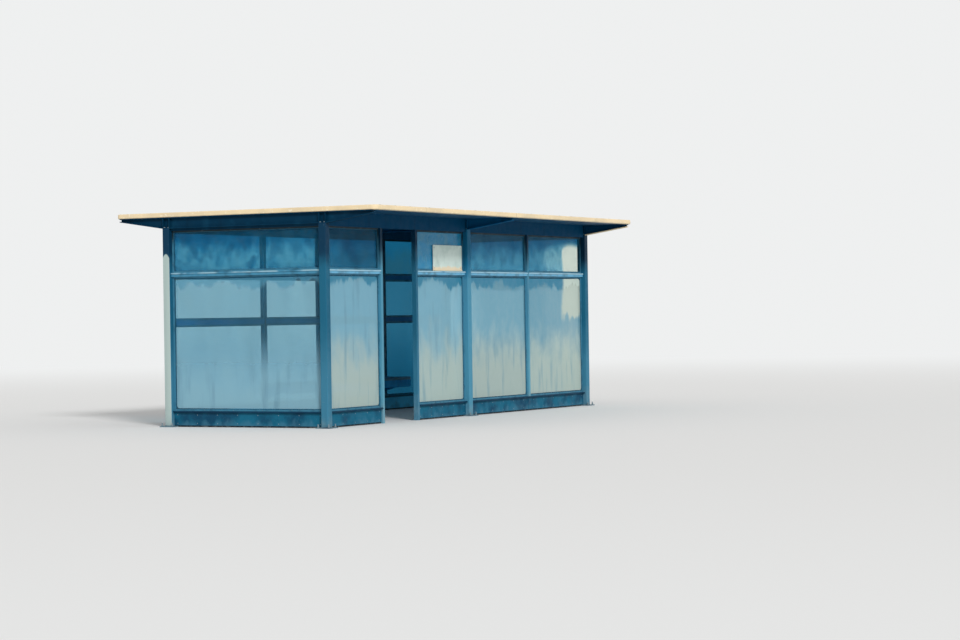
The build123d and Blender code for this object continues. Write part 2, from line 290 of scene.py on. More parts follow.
# The lower flange's line under the eaves: how far out and how high it starts, and its slope
EAVE_LINE = (1.2, 2.48, 0.15)
RAFTER_BOLT_OFFSET = 0.03
# Each round of a fastener: its sides, its radius at the foot and the head, its base and height
FRAME_BOLT = ((16, 0.012, 0.012, 0, 0.0025), (6, 0.0104, 0.009984, 0.0025, 0.0075))
FLANGE_THICK, WEB_HALF, BEAD_RADIUS = 0.01, 0.004, 0.0045
TIP_TALL, EDGE_SHEET = 0.045, 0.004


def navy_paint(name, clean, worn_share, eave_line=None):
    """Navy paint, with a painted highlight on the lower flange beyond the front wall where an eave
    line is given.
    """
    finish, tree, surface = new_finish(name, 0.06)
    colour = patches(tree, tone(clean), NAVY_WORN, noise(tree, 6.0, 6.0), 0.5, 0.8, 0,
                     worn_share)
    streaks = noise(tree, 8.0, 5.0, (1, 1, 0.07))
    colour = patches(tree, colour, NAVY_STREAK, streaks, 0.55, 0.8, 0, 0.4)
    if eave_line:
        # Painted highlight on the lower flange beyond the front wall
        wall_y, wall_z, rise = eave_line
        _, y, z = along_axes(tree)
        above = calc(tree, "MULTIPLY_ADD", calc(tree, "ADD", y, wall_y), rise, z)
        flange_highlight = between(tree, above, wall_z + 0.011, wall_z + 0.013, 1, 0)
        eave = calc(tree, "LESS_THAN", y, -wall_y)
        colour = coat(tree, colour, tone(FLANGE_HIGHLIGHT), calc(tree, "MULTIPLY", flange_highlight, eave))
    paint_on(tree, surface, colour, 0.7, 0.5, 190.0, 0.0004)
    return finish


def rod(shape, start, end, radius):
    """A six-sided bar from start to end, added to the shape."""
    run = Vector(end) - Vector(start)
    made = disc(shape, 6, radius, radius, 0, run.length)
    bmesh.ops.transform(shape, matrix=standing(start, run), verts=made)


def heads(places, rounds):
    """Copies of a fastener's head, which is made of rounds, at the places."""
    head = bmesh.new()
    for sizes in rounds:
        disc(head, *sizes)
    return copies(head, places)


frame_navy = navy_paint("frame_navy", NAVY, 0.5)
dress(frame_navy, "rafter_left")
dress(navy_paint("deep_shade_lifted_navy", DEEP_SHADE_LIFTED_NAVY, 0.3), "rafter_middle")
dress(navy_paint("frame_navy_flange_highlight", SHADE_LIFTED_NAVY, 0.5, EAVE_LINE), "rafter_right")

post_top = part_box(POST_NODES[0])[1].z
flange_top = post_top + FLANGE_THICK
bolt_places = [place for foot in post_feet
               for place in four_round(Vector((foot.x, foot.y, flange_top)), RAFTER_BOLT_OFFSET)]
fit("rafter_bolts", heads(bolt_places, FRAME_BOLT), zinc)

beads = bmesh.new()
room_front, room_back = post_feet[0].y - POST_HALF, post_feet[-1].y + POST_HALF
for name, sheet_over in (("rafter_left", EDGE_SHEET), ("rafter_middle", 0.0),
                         ("rafter_right", EDGE_SHEET)):
    low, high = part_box(name)
    tip_z = high.z + sheet_over - TIP_TALL + FLANGE_THICK
    top_z = high.z - FLANGE_THICK
    for web_x in (middle((low, high)).x - WEB_HALF, middle((low, high)).x + WEB_HALF):
        line = [(web_x, low.y, tip_z), (web_x, room_front, flange_top),
                (web_x, room_back, flange_top), (web_x, high.y, tip_z)]
        for start, end in zip(line, line[1:]):
            rod(beads, start, end, BEAD_RADIUS)
        rod(beads, (web_x, low.y, top_z), (web_x, high.y, top_z), BEAD_RADIUS)
fit("rafter_weld_beads", beads, frame_navy)

# Long beams and head rails: box beams over the front and back glass, and thin rails over the
# end glass, all in the rafters' navy paint, most in its lighter copy that lifts them out of deep
# shade as painted light. Angle cleats with two bolts hold the beam ends.
shade_lifted_navy = navy_paint("shade_lifted_navy", SHADE_LIFTED_NAVY, 0.3)
dress(shade_lifted_navy, "front_beams", "back_beams", "right_end_head_rail")
dress(frame_navy, "left_end_head_rail")
CLEAT_LEG, CLEAT_TALL, CLEAT_SHEET, CLEAT_EDGE = 0.06, 0.12, 0.006, 0.001
CLEAT_BOLT_IN, CLEAT_BOLT_RISE = 0.035, 0.035
front_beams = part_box("front_beams")


def slab(shape, low, high, edge):
    """A block between two corners, with its edges eased, added to the shape."""
    size = Vector(high) - Vector(low)
    centre = (Vector(high) + Vector(low)) / 2
    place = Matrix.Translation(centre) @ Matrix.Diagonal((*size, 1.0))
    made = bmesh.ops.create_cube(shape, size=1.0, matrix=place)["verts"]
    ease(shape, list({e for v in made for e in v.link_edges}), edge, 2)


cleats, cleat_bolts = bmesh.new(), []
beam_z = middle(front_beams).z
for wall_y, room in ((front_beams[1].y, 1), (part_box("back_beams")[0].y, -1)):
    sheet_y = wall_y + room * CLEAT_SHEET
    low_y, high_y = sorted((wall_y, sheet_y))
    for end_x, inward in ((front_beams[0].x, 1), (-POST_HALF, -1), (POST_HALF, 1),
                          (front_beams[1].x, -1)):
        near, far = sorted((end_x, end_x + inward * CLEAT_LEG))
        slab(cleats, (near, low_y, beam_z - CLEAT_TALL / 2),
             (far, high_y, beam_z + CLEAT_TALL / 2), CLEAT_EDGE)
        for rise in (-CLEAT_BOLT_RISE, CLEAT_BOLT_RISE):
            spot = Vector((end_x + inward * CLEAT_BOLT_IN, sheet_y, beam_z + rise))
            cleat_bolts.append(standing(spot, (0, room, 0)))
fit("beam_cleats", cleats, shade_lifted_navy)
fit("cleat_bolts", heads(cleat_bolts, FRAME_BOLT), zinc)

# Plinth panels: dark blue coated panels under all the glass, with a sloped sill on top. Pop
# rivets hold them along the top and the foot, and rain has splashed them with dust.
PLINTH_BLUE, PLINTH_CLOUD = (16, 98, 126), (8, 66, 94)
# Painted light for the back panel's face towards the room, which sits in deep shade
PLINTH_INSIDE_LIFT = (80, 190, 228)
PLINTH_TOP_LINE = (4, 48, 74)
SPLASH, SCUFF = (66, 118, 142), (110, 146, 158)
SPLASH_LINE, SILL_LINE = 0.15, 0.172
RIVET_PITCH, RIVET_MARGIN = 0.3, 0.05
RIVET_ROWS = (0.045, 0.15)
RIVET = ((10, 0.006, 0.0033, 0, 0.0025),)
PLINTH_FACE = 0.06
ROOM_BACK, ROOM_END = post_feet[-1].y - POST_HALF, post_feet[-1].x - POST_HALF

plinth_paint, tree, surface = new_finish("plinth_paint", 0.15)
x, y, z = along_axes(tree)
colour = patches(tree, tone(PLINTH_BLUE), PLINTH_CLOUD, noise(tree, 3.5, 6.0), 0.4, 0.65)
# Only the back panel's face towards the room is this pale, as painted light that lifts it out of
# the room's deep shade
lifted_inside = calc(tree, "MULTIPLY", calc(tree, "GREATER_THAN", y, ROOM_BACK - 0.05),
              calc(tree, "LESS_THAN", y, ROOM_BACK + 0.0015))
lifted_inside = calc(tree, "MULTIPLY", lifted_inside,
              calc(tree, "LESS_THAN", calc(tree, "ABSOLUTE", x), ROOM_END - 0.002))
colour = coat(tree, colour, tone(PLINTH_INSIDE_LIFT), lifted_inside)
colour = patches(tree, colour, PLINTH_TOP_LINE, z, SILL_LINE, SILL_LINE + 0.01, 0, 0.85)
height = ragged(tree, z, 0.3, 9.0, 6.0, (1, 1, 0.6))
colour = patches(tree, colour, SPLASH, height, SPLASH_LINE, SPLASH_LINE + 0.09, 0.5, 0)
colour = patches(tree, colour, SCUFF, noise(tree, 90.0, 3.0), 0.66, 0.74, 0, 0.35)
paint_on(tree, surface, colour, 0.72, 0.5, 260.0, 0.0004)
dress(plinth_paint, "front_plinth_left", "front_plinth_right", "back_plinth",
      "left_end_plinth", "right_end_plinth")


def extremes(points):
    """The lowest and highest corners of the box round some points."""
    return [Vector([pick(point[i] for point in points) for i in range(3)])
            for pick in (min, max)]


def solid_boxes(name):
    """The boxes of a node's separate solids, from left to right, front to back and up."""
    joined = bmesh.new()
    joined.from_mesh(cad_nodes[name].data)
    bmesh.ops.remove_doubles(joined, verts=joined.verts, dist=1e-5)
    seen, boxes = set(), []
    for vert in joined.verts:
        if vert in seen:
            continue
        seen.add(vert)
        island, corners = [vert], []
        while island:
            at = island.pop()
            corners.append(at.co.copy())
            near = [edge.other_vert(at) for edge in at.link_edges]
            fresh = [v for v in near if v not in seen]
            seen.update(fresh)
            island.extend(fresh)
        boxes.append(extremes(corners))
    joined.free()
    return sorted(boxes, key=lambda b: [round(v, 3) for v in (*b[0], *b[1])])


def spaced(start, end, pitch, margin):
    """Even steps between start and end, about a pitch apart."""
    count = max(1, round((end - start - 2 * margin) / pitch))
    return [start + margin + (end - start - 2 * margin) * i / count for i in range(count + 1)]


# Each wall's outward direction, and the plinth panels that stand in it
WALLS = {"front": (Vector((0, -1, 0)), ("front_plinth_left", "front_plinth_right")),
         "back": (Vector((0, 1, 0)), ("back_plinth",)),
         "left_end": (Vector((-1, 0, 0)), ("left_end_plinth",)),
         "right_end": (Vector((1, 0, 0)), ("right_end_plinth",))}
post_faces = {"front": room_front, "back": room_back,
              "left_end": post_feet[0].x - POST_HALF, "right_end": post_feet[-1].x + POST_HALF}


def run_axis(outward):
    """0 for a wall that runs along X, and 1 for one that runs along Y."""
    return 0 if outward.y else 1


def on_wall(wall, along, inset, z):
    """A point on a wall: how far along it, how far in from the posts' faces, and how high."""
    outward = WALLS[wall][0]
    across = post_faces[wall] - inset * (outward.x + outward.y)
    return Vector((along, across, z)) if outward.y else Vector((across, along, z))


rivet_places = []
for wall, (outward, names) in WALLS.items():
    run = run_axis(outward)
    for low, high in [box for name in names for box in solid_boxes(name)]:
        rivet_places += [standing(on_wall(wall, step, PLINTH_FACE, row), outward)
                         for step in spaced(low[run], high[run], RIVET_PITCH, RIVET_MARGIN)
                         for row in RIVET_ROWS]
fit("plinth_rivets", heads(rivet_places, RIVET), zinc)

# Foot seals and joint covers: a black rubber strip closes the gap under each plinth, and a
# folded strip of the same blue sheet covers the plinth's joint under each mullion.
SEAL_BLACK, SEAL_DUST = (30, 38, 44), (92, 104, 108)
SEAL_INSETS, SEAL_EDGE = (0.064, 0.094), 0.005
PLATE_CLEAR, SEAL_CLEAR, TOUCHING = 0.052, 0.002, 0.003
COVER_HALF, COVER_THICK, COVER_EDGE = 0.022, 0.003, 0.0012
COVER_HEIGHTS = (0.024, 0.178)
seal_rubber, tree, surface = new_finish("seal_rubber", 0.15)
colour = patches(tree, tone(SEAL_BLACK), SEAL_DUST, noise(tree, 22.0, 5.0), 0.45, 0.72)
paint_on(tree, surface, colour, 0.9, 0.7, 260.0, 0.0004)


def wall_slab(shape, wall, alongs, insets, heights, edge):
    """A slab on a wall, between two places along it, two insets and two heights."""
    corners = [on_wall(wall, *corner) for corner in zip(alongs, insets, heights)]
    slab(shape, *extremes(corners), edge)


seals, covers = bmesh.new(), bmesh.new()
post_edges = [foot[i] + side * POST_HALF for foot in post_feet for i in (0, 1) for side in (-1, 1)]
for wall, (outward, names) in WALLS.items():
    run = run_axis(outward)
    mullions = [middle(box).x for node in ("front_mullion", "back_mullions")
                for box in solid_boxes(node) if box[0].y * outward.y > 0]
    for low, high in [box for name in names for box in solid_boxes(name)]:
        ends = []
        for end, into in ((low[run], 1), (high[run], -1)):
            by_post = min(abs(end - edge) for edge in post_edges) < TOUCHING
            ends.append(end + into * (PLATE_CLEAR if by_post else SEAL_CLEAR))
        wall_slab(seals, wall, ends, SEAL_INSETS, (0.0, low.z), SEAL_EDGE)
        for at in [mullion for mullion in mullions if low[run] < mullion < high[run]]:
            wall_slab(covers, wall, (at - COVER_HALF, at + COVER_HALF),
                      (PLINTH_FACE, PLINTH_FACE - COVER_THICK), COVER_HEIGHTS, COVER_EDGE)
fit("foot_seals", seals, seal_rubber)
fit("plinth_joint_covers", covers, plinth_paint)

# Uprights and level bars: door jambs, mullions and bars of blue coated aluminium, 60 mm deep.
# Each bar's sloped nose carries a painted highlight in broken patches. The front bars' blue is a
# lighter copy, painted light for the shade they sit in, and the back wall's bars are painted navy
# as shade, with a brighter blue towards the room as painted light. An angle cleat with two bolts
# holds each jamb's foot to the floor.
UPRIGHT_BLUE, UPRIGHT_CHALKY = (78, 143, 170), (92, 154, 176)
RIGHT_JAMB_BLUE, RIGHT_JAMB_CHALKY = (34, 98, 126), (56, 120, 148)
BACK_UPRIGHT_BLUE, BACK_UPRIGHT_CHALKY = (30, 82, 108), (40, 96, 122)
# Bar colours: the pale noses are painted highlights, the front bars' lighter blue is painted
# light, the back bars' navy is painted shade and their blue towards the room is painted light
END_BAR_BLUE, NOSE_HIGHLIGHT = (68, 138, 170), (150, 190, 204)
FRONT_BAR_LIFTED_BLUE, FRONT_NOSE_HIGHLIGHT = (104, 172, 206), (172, 212, 226)
BACK_BAR_SHADE_NAVY, BACK_BAR_INSIDE_LIFT = (26, 84, 116), (6, 114, 172)
EAVE_SHADE_LOW, EAVE_SHADE_HIGH = 2.2, 2.4
BAR_HALF_DEPTH, NOSE_MIDDLE = 0.03, 0.009
JAMB_LEG, JAMB_FOOT, JAMB_CLEAT_HALF = 0.062, 0.05, 0.02
JAMB_BOLT_OUT, JAMB_BOLT_UP = 0.032, 0.042
JAMB_BOLT = ((16, 0.011, 0.011, 0, 0.002), (6, 0.00832, 0.008112, 0.002, 0.006))
upright_paint = post_blue("upright_paint", UPRIGHT_BLUE, UPRIGHT_CHALKY, 2.1, 2.5)
dress(upright_paint, "door_jamb_left", "front_mullion")
dress(post_blue("right_jamb_paint", RIGHT_JAMB_BLUE, RIGHT_JAMB_CHALKY, 2.2, 2.5),
      "door_jamb_right")
back_upright_paint = post_blue("back_upright_paint", BACK_UPRIGHT_BLUE, BACK_UPRIGHT_CHALKY,
                               2.0, 2.5)
dress(back_upright_paint, "back_mullions")

jamb_cleats, jamb_bolts = bmesh.new(), []
for name in ("door_jamb_left", "door_jamb_right"):
    x, face_y = middle(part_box(name)).x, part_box(name)[1].y
    for far_y, top_z in ((face_y + JAMB_FOOT, CLEAT_SHEET), (face_y + CLEAT_SHEET, JAMB_LEG)):
        slab(jamb_cleats, (x - JAMB_CLEAT_HALF, face_y, 0), (x + JAMB_CLEAT_HALF, far_y, top_z),
             CLEAT_EDGE)
    jamb_bolts += [standing(Vector((x, face_y + JAMB_BOLT_OUT, CLEAT_SHEET))),
                   standing(Vector((x, face_y + CLEAT_SHEET, JAMB_BOLT_UP)), (0, 1, 0))]
fit("jamb_cleats", jamb_cleats, back_upright_paint)
fit("jamb_bolts", heads(jamb_bolts, JAMB_BOLT), zinc)


def bar_paint(name, body, shine=0.2, nose=None, highlight_from=0.36, lifted_inside=None):
    """Paint for level bars, with a painted highlight in patches on the nose and painted light on
    the faces towards the room where these are given, and painted shade under the eaves.
    """
    finish, tree, surface = new_finish(name, shine)
    _, y, z = along_axes(tree)
    colour = patches(tree, tone(body), [c * 0.82 for c in body], noise(tree, 9.0, 5.0), 0.45, 0.7)
    # Painted light on the faces towards the room
    if lifted_inside:
        colour = coat(tree, colour, tone(lifted_inside),
                      calc(tree, "LESS_THAN", y, ROOM_BACK + BAR_HALF_DEPTH))
    # Painted highlight in broken patches along the nose
    if nose:
        off = calc(tree, "ABSOLUTE", calc(tree, "SUBTRACT", z, front_bar_top - NOSE_MIDDLE))
        nose_highlight = between(tree, noise(tree, 2.6, 5.0), highlight_from, highlight_from + 0.12)
        edge = calc(tree, "MULTIPLY", between(tree, off, 0.008, 0.012, 0.9, 0), nose_highlight)
        colour = coat(tree, colour, tone(nose), edge)
    colour = patches(tree, colour, [c * 0.35 for c in body], z, EAVE_SHADE_LOW, EAVE_SHADE_HIGH)
    paint_on(tree, surface, colour, 0.6, 0.38, 240.0, 0.0003)
    return finish


front_bar_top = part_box("front_transom_left")[1].z
dress(bar_paint("front_bar_paint", FRONT_BAR_LIFTED_BLUE, nose=FRONT_NOSE_HIGHLIGHT), "front_transom_left",
      "front_transoms_right")
dress(bar_paint("end_bar_paint", END_BAR_BLUE, nose=NOSE_HIGHLIGHT, highlight_from=0.44),
      "left_end_transom", "right_end_transom")
dress(bar_paint("back_bar_paint", BACK_BAR_SHADE_NAVY, 0.05, lifted_inside=BACK_BAR_INSIDE_LIFT), "back_transoms")

# Pane frames: thin blue coated frames with mitred corners, screwed into the bars. Blue-grey
# rubber gaskets, 6 mm wide and chalky from the sun, hold the glass on both sides.
FRAME_NODES = {wall: [f"{wall}_pane_frames"] for wall in ("back", "left_end", "right_end")}
FRAME_NODES["front"] = ["front_left_pane_frames", "front_right_pane_frames"]
FRAME_BLUE, BACK_FRAME_BLUE = (62, 126, 154), (46, 118, 150)
RUBBER_BLUE, RUBBER_CHALKY = (40, 92, 116), (78, 128, 148)
SIGHT = 0.02
FRAME_HALF_DEPTH = 0.017
GLASS_HALF = 0.005
GASKET_WIDTH, GASKET_DEPTH = 0.006, 0.005
SCREW_PITCH, LEVEL_MARGIN, UPRIGHT_MARGIN = 0.42, 0.03, 0.12
FRAME_SCREW = ((8, 0.0045, 0.0027, 0, 0.0012),)
dress(bar_paint("pane_frame_paint", FRAME_BLUE), *FRAME_NODES["front"],
      *FRAME_NODES["left_end"], *FRAME_NODES["right_end"])
dress(bar_paint("back_pane_frame_paint", BACK_FRAME_BLUE, 0.05), *FRAME_NODES["back"])

rubber, tree, surface = new_finish("chalky_rubber", 0.2)
colour = patches(tree, tone(RUBBER_BLUE), RUBBER_CHALKY, noise(tree, 30.0, 5.0), 0.5, 0.75, 0, 0.7)
paint_on(tree, surface, colour, 0.85, 0.6, 300.0, 0.0003)


def facing(point, outward):
    """The place of a flat shape on a wall: its own Y points up and its own Z outward."""
    up = Vector((0, 0, 1))
    turn = Matrix((up.cross(outward), up, outward)).transposed().to_4x4()
    return Matrix.Translation(point) @ turn


def sheet_shape(width, tall):
    """A flat rectangle round the origin, in its own X and Y."""
    shape = bmesh.new()
    bmesh.ops.create_grid(shape, x_segments=1, y_segments=1, size=0.5)
    bmesh.ops.scale(shape, vec=(width, tall, 1), verts=shape.verts)
    return shape


def thicken(shape, depth):
    made = bmesh.ops.extrude_face_region(shape, geom=shape.faces[:])["geom"]
    bmesh.ops.translate(shape, vec=(0, 0, depth),
                        verts=[v for v in made if isinstance(v, bmesh.types.BMVert)])


def gasket(width, tall):
    shape = sheet_shape(width, tall)
    bmesh.ops.inset_region(shape, faces=shape.faces[:], thickness=GASKET_WIDTH,
                           use_boundary=True, use_even_offset=True)
    opening = max(shape.faces, key=lambda face: face.calc_area())
    bmesh.ops.delete(shape, geom=[opening], context="FACES")
    thicken(shape, GASKET_DEPTH)
    return shape


pane_frames = [(wall, *box) for wall, names in FRAME_NODES.items() for name in names
               for box in solid_boxes(name)]
gaskets, screw_places = bmesh.new(), []
for wall, low, high in pane_frames:
    outward = WALLS[wall][0]
    run = run_axis(outward)
    centre = middle((low, high))
    for out in (outward, -outward):
        ring = gasket(high[run] - low[run] - 2 * SIGHT, high.z - low.z - 2 * SIGHT)
        put(gaskets, ring, [facing(centre + out * GLASS_HALF, out)])
    spots = [(along, z) for along in spaced(low[run], high[run], SCREW_PITCH, LEVEL_MARGIN)
             for z in (low.z + SIGHT / 2, high.z - SIGHT / 2)]
    spots += [(along, z) for z in spaced(low.z, high.z, SCREW_PITCH, UPRIGHT_MARGIN)
              for along in (low[run] + SIGHT / 2, high[run] - SIGHT / 2)]
    for along, z in spots:
        spot = centre + outward * FRAME_HALF_DEPTH
        spot[run], spot.z = along, z
        screw_places.append(standing(spot, outward))
fit("glazing_gaskets", gaskets, rubber)
fit("pane_frame_screws", heads(screw_places, FRAME_SCREW), zinc)

# Panes: blue-tinted safety glass, 10 mm thick, held between the gaskets. It is clearer low down
# and darker towards the head, where painted shade from the eaves and mottled painted shade lie
# in it, and a patch of painted light brightens it beside the front right post. The back wall's
# right-hand panes are an older, much darker glass.
PANE_DUST, PANE_DUST_PALE = (52, 180, 232), (96, 192, 230)
# What one face lets through, as shares of red, green and blue light
END_TINTS = ((0.69, 0.818, 0.856), (0.53, 0.74, 0.805))
FRONT_TINTS = ((0.76, 0.87, 0.91), (0.53, 0.74, 0.805))
OLD_TINTS = ((0.155, 0.4, 0.52), (0.13, 0.35, 0.45))
# Tints for painted shade at the panes' heads, for mottled painted shade and a stain just over the
# bars, and for dirt low on the old panes; then the tint of a patch of painted light
HEAD_SHADE_TINT, DARK_BLUE_TINT, LOW_DIRT = (0.07, 0.38, 0.55), (0.07, 0.34, 0.5), (0.08, 0.3, 0.42)
CORNER_LIGHT_TINT = (0.945, 0.955, 0.92)
DOOR_PANE_X, DOOR_PANE_HALF = -0.675, 0.65
HEAD_SHADE_LINE = 2.34


def corner_light_patch(tree):
    """Nearly 1 on the panes beside the front right post, where a patch of painted light lies."""
    x, y, z = along_axes(tree)
    toward = ragged(tree, calc(tree, "SUBTRACT", x, y), 0.3, 3.0, 4.0)
    off = calc(tree, "SUBTRACT", toward, 4.5)
    crown = calc(tree, "ADD", z, calc(tree, "MULTIPLY", off, off))
    return calc(tree, "MULTIPLY", between(tree, toward, 4.12, 4.24, 0, 0.92),
                between(tree, crown, 2.3, 2.44, 1, 0))


def see_through(tree, surface, tint, share):
    """Lets light through by its tint, but for the share that the painted surface covers."""
    clear = add(tree, "BsdfTransparent", {0: tint}).outputs[0]
    mixed = add(tree, "MixShader", {0: share, 1: clear, 2: surface.outputs[0]}).outputs[0]
    tree.links.new(mixed, tree.nodes["Material Output"].inputs["Surface"])


def pane_glass(name, tints, haze=(0.05, 0.05, 0), old=None, foot_stain=0.0):
    """Glass with tints for below and above the upper bars, on the left and, if old, the right."""
    finish, tree, surface = new_finish(name, 0.5)
    x, _, z = along_axes(tree)
    high = calc(tree, "GREATER_THAN", z, front_bar_top)
    tint = coat(tree, (*tints[0], 1), (*tints[1], 1), high)
    aged = calc(tree, "GREATER_THAN", x, 0.0)
    if old:
        tint = coat(tree, tint, coat(tree, (*old[0], 1), (*old[1], 1), high), aged)
    # Painted shade from the eaves darkens the upper panes towards the head, much less beside the
    # door
    height = ragged(tree, z, 0.42, 5.5, 5.0)
    head_shade = between(tree, height, HEAD_SHADE_LINE, HEAD_SHADE_LINE + 0.24, 0, 0.6)
    head_shade = calc(tree, "MULTIPLY", high, head_shade)
    off_door = calc(tree, "ABSOLUTE", calc(tree, "SUBTRACT", x, DOOR_PANE_X))
    beside_door = calc(tree, "LESS_THAN", off_door, DOOR_PANE_HALF)
    head_shade = calc(tree, "MULTIPLY", head_shade, calc(tree, "MULTIPLY_ADD", beside_door, -0.8, 1.0))
    tint = coat(tree, tint, (*HEAD_SHADE_TINT, 1), head_shade)
    # Mottled painted shade on the upper panes
    mottled_shade = between(tree, noise(tree, 6.0, 3.0), 0.5, 0.66, 0, 0.4)
    tint = coat(tree, tint, (*DARK_BLUE_TINT, 1), calc(tree, "MULTIPLY", high, mottled_shade))
    foot = between(tree, ragged(tree, z, 0.25, 5.0, 4.0), front_bar_top + 0.1,
                   front_bar_top + 0.25, foot_stain, 0)
    tint = coat(tree, tint, (*DARK_BLUE_TINT, 1), calc(tree, "MULTIPLY", high, foot))
    if old:
        dirt = between(tree, ragged(tree, z, 0.5, 2.5, 3.0, (1, 1, 0.25)), 0.7, 1.6, 0.8, 0)
        dirt = calc(tree, "MULTIPLY", dirt, calc(tree, "MULTIPLY_ADD", aged, 0.8, 0.2))
        tint = coat(tree, tint, (*LOW_DIRT, 1), dirt)
    # A patch of painted light beside the front right post, where the surface share is also cleared
    corner = corner_light_patch(tree)
    tint = coat(tree, tint, (*CORNER_LIGHT_TINT, 1), corner)
    colour = patches(tree, tone(PANE_DUST), PANE_DUST_PALE, noise(tree, 12.0), 0.4, 0.7)
    paint_on(tree, surface, colour, 0.3, 0.12, 30.0, 0.00003)
    hazy = calc(tree, "MULTIPLY_ADD", beside_door, haze[2],
                between(tree, x, -2.0, -1.4, haze[0], haze[1]))
    hazy = calc(tree, "MULTIPLY", hazy, calc(tree, "MULTIPLY_ADD", head_shade, -0.4, 1.0))
    hazy = calc(tree, "MULTIPLY_ADD", high, hazy, 0.03)
    dust = between(tree, noise(tree, 3.0, 6.0, (1, 1, 0.4)), 0.3, 0.75, 0.0, 0.05)
    dust = calc(tree, "MULTIPLY", calc(tree, "ADD", dust, hazy),
                calc(tree, "SUBTRACT", 1.0, corner))
    see_through(tree, surface, tint, dust)
    return finish


dress(pane_glass("end_glass", END_TINTS, foot_stain=0.3), "left_end_glass", "right_end_glass")
dress(pane_glass("front_glass", FRONT_TINTS, (0.07, 0.15, 0.3)), "front_left_glass",
      "front_right_glass")
dress(pane_glass("back_glass", END_TINTS, old=OLD_TINTS), "back_glass")

# Frosted film: a thin milky film with round corners is stuck to the outside of the lower
# panes of the front and the ends, so that nobody walks into them. Its head is stained blue.
FILM_BLUE, FILM_DUST, FILM_STAIN = (142, 195, 214), (200, 216, 206), (38, 122, 153)
END_FILM_BLUE, END_FILM_DUST, END_FILM_STAIN = (136, 188, 210), (150, 196, 212), (84, 160, 190)
# Painted shade that the film takes on towards +X, and a patch of painted light on it beside the
# front right post
FILM_PAINTED_SHADE, FILM_CORNER_LIGHT = (104, 162, 184), (200, 214, 202)
FILM_THICK, FILM_GAP, FILM_CORNER = 0.0004, 0.012, 0.035
FILM_LOW_SHARE, STAIN_SHARE = 0.62, 0.36
# How high the patch of painted light starts, and where the stained head starts
CORNER_LIGHT_LINE, STAIN_LINE = 1.46, 1.93


def film_finish(name, blue, dusty, stained, share, dust_top):
    """A film whose share hides what is behind it, more so at its dusty foot and stained head."""
    finish, tree, surface = new_finish(name, 0.3)
    x, _, z = along_axes(tree)
    # Painted shade deepening across the film towards +X
    colour = patches(tree, tone(blue), FILM_PAINTED_SHADE, x, -0.3, 0.6, 0, 0.85)
    height = ragged(tree, z, 0.8, 4.5, 3.0, (1, 1, 0.6))
    colour = patches(tree, colour, dusty, height, dust_top, dust_top + 0.7, 0.9, 0)
    streaks = noise(tree, 9.0, 5.0, (1, 1, 0.15))
    colour = patches(tree, colour, [c * 0.88 for c in blue], streaks, 0.5, 0.75, 0, 0.6)
    head = ragged(tree, z, 0.45, 5.0, 4.0, (1, 1, 0.4))
    stain = calc(tree, "ADD", head, between(tree, x, -2.4, -1.2, -0.03, 0))
    stain = between(tree, stain, STAIN_LINE, STAIN_LINE + 0.06, 0, 0.95)
    colour = coat(tree, colour, tone(stained), stain)
    # A patch of painted light on the film beside the front right post, above a ragged line
    corner_light_reach = between(tree, head, CORNER_LIGHT_LINE, CORNER_LIGHT_LINE + 0.08)
    colour = coat(tree, colour, tone(FILM_CORNER_LIGHT),
                  calc(tree, "MULTIPLY", corner_light_patch(tree), corner_light_reach))
    paint_on(tree, surface, colour, 0.55, 0.35, 90.0, 0.0001)
    share = between(tree, z, 0.5, 1.2, FILM_LOW_SHARE, share)
    see_through(tree, surface, (1, 1, 1, 1), calc(tree, "MULTIPLY_ADD", stain, STAIN_SHARE, share))
    return finish


end_film = film_finish("end_film_finish", END_FILM_BLUE, END_FILM_DUST, END_FILM_STAIN, 0.06, 0.7)
films = {"front": film_finish("front_film_finish", FILM_BLUE, FILM_DUST, FILM_STAIN, 0.6, 1.0),
         "left_end": end_film, "right_end": end_film}
for wall, finish in films.items():
    shape = bmesh.new()
    outward = WALLS[wall][0]
    for low, high in [box[1:] for box in pane_frames if box[0] == wall and box[1].z < 1.0]:
        size = (high - low) - Vector([2 * (SIGHT + FILM_GAP)] * 3)
        film = sheet_shape(size[run_axis(outward)], size.z)
        bmesh.ops.bevel(film, geom=film.verts[:], offset=FILM_CORNER, segments=6, profile=0.5,
                        affect="VERTICES", material=-1)
        thicken(film, FILM_THICK)
        put(shape, film, [facing(middle((low, high)) + outward * GLASS_HALF, outward)])
    fit(f"{wall}_film", shape, finish)

# Roof panels: six insulated panels with ribbed steel skins, coated blue-grey on top and navy
# underneath. Caps cover the joints, and screws with dished washers stand between the ribs.
TOP_COAT, TOP_CLOUD = (104, 140, 156), (84, 120, 136)
LICHEN, TOP_STREAK = (150, 162, 150), (52, 82, 96)
# Painted highlight for the crowns of the ribs
CROWN_HIGHLIGHT = (136, 168, 180)
UNDER_COAT, UNDER_CLOUD = (0, 66, 100), (0, 80, 114)
CAP_HALF, CAP_TALL, CAP_EDGE, CAP_END_GAP = 0.03, 0.01, 0.0035, 0.06
ROOF_SCREW = ((16, 0.014, 0.012, 0, 0.003), (6, 0.0062, 0.006, 0.003, 0.005))
ROOF_SCREW_XS = (-0.5, -0.18, 0.18, 0.5)
roof_low, roof_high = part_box("roof_panels")
panel_boxes = solid_boxes("roof_panels")
roof_coat, tree, surface = new_finish("roof_sheet", 0.2)
z = along_axes(tree)[2]
top = patches(tree, tone(TOP_COAT), TOP_CLOUD, noise(tree, 1.6, 7.0), 0.3, 0.75)
top = patches(tree, top, LICHEN, noise(tree, 17.0, 6.0), 0.6, 0.72, 0, 0.7)
top = patches(tree, top, TOP_STREAK, noise(tree, 5.0, 5.0, (1, 0.05, 1)), 0.55, 0.75, 0, 0.6)
